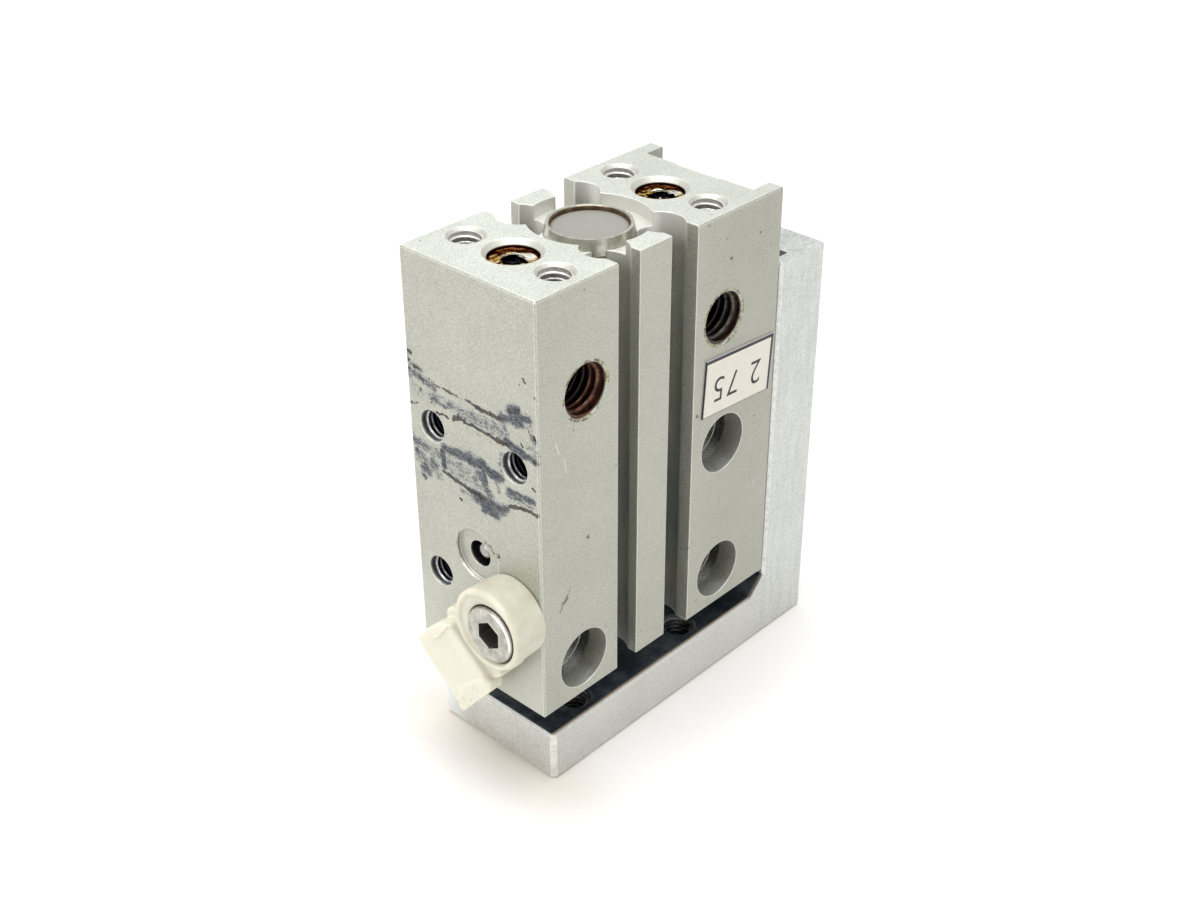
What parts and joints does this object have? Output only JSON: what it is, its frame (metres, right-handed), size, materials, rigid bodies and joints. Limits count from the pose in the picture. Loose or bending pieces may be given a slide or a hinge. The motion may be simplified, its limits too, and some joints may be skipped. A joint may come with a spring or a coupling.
{
  "type": "pneumatic slide table",
  "caption": "Compact air cylinder in a grooved flat body; its rod moves an L-shaped table that runs on a miniature linear guide.",
  "frame": {"origin": "on the foot's outer face, at the axis of the bore", "axes": "+Z along the bore from the foot to the head end, +X towards the table's leg, -Y out of the wide face with the air ports"},
  "size_m": [0.0432, 0.0167, 0.0509],
  "materials": {
    "body_aluminium": "matt hard anodised",
    "table_aluminium": "satin anodised, machined",
    "plain_aluminium": "turned",
    "cover_aluminium": "matt",
    "ring_metal": "bright turned",
    "brass_cover": "turned",
    "bronze": "sintered, oiled",
    "hardened_steel": "ground",
    "bright_steel": "polished",
    "screw_steel": "plain",
    "stainless_screw": "satin stainless",
    "magnet": "bonded magnet",
    "nitrile": "matt",
    "urethane": "translucent amber",
    "black_plastic": "moulded",
    "natural_nylon": "natural nylon, waxy",
    "label": "film sticker"
  },
  "bodies": {
    "table_assembly": {"table": "table_aluminium", "guide_block": "hardened_steel", "guide_block_end_caps": "black_plastic", "guide_balls": "bright_steel", "guide_block_screws": "screw_steel", "piston_rod": "bright_steel", "rod_end_screw": "screw_steel", "rod_end_washer": "screw_steel", "rod_floating_bush": "bronze", "magnet_holder": "plain_aluminium", "piston_magnet": "magnet", "piston": "plain_aluminium", "piston_seal": "nitrile"},
    "cylinder_assembly": {"cylinder_body": "body_aluminium", "head_cover": "cover_aluminium", "head_retaining_ring": "ring_metal", "head_cover_oring": "nitrile", "head_bumper": "urethane", "rod_cover": "brass_cover", "rod_bush": "bronze", "rod_seal": "nitrile", "rod_cover_oring": "nitrile", "rod_cover_snap_ring": "screw_steel", "rod_bumper": "urethane", "passage_balls": "bright_steel", "cross_hole_balls": "bright_steel", "guide_rail": "hardened_steel", "rail_screws": "screw_steel", "tie_mount": "natural_nylon", "tie_mount_screw": "stainless_screw", "label_sticker": "label"}
  },
  "joints": [
    {"name": "table_slide", "type": "slide", "parent": "table_assembly", "child": "cylinder_assembly", "axis": [0, 0, 1], "range_m": [0, 0.01]}
  ]
}
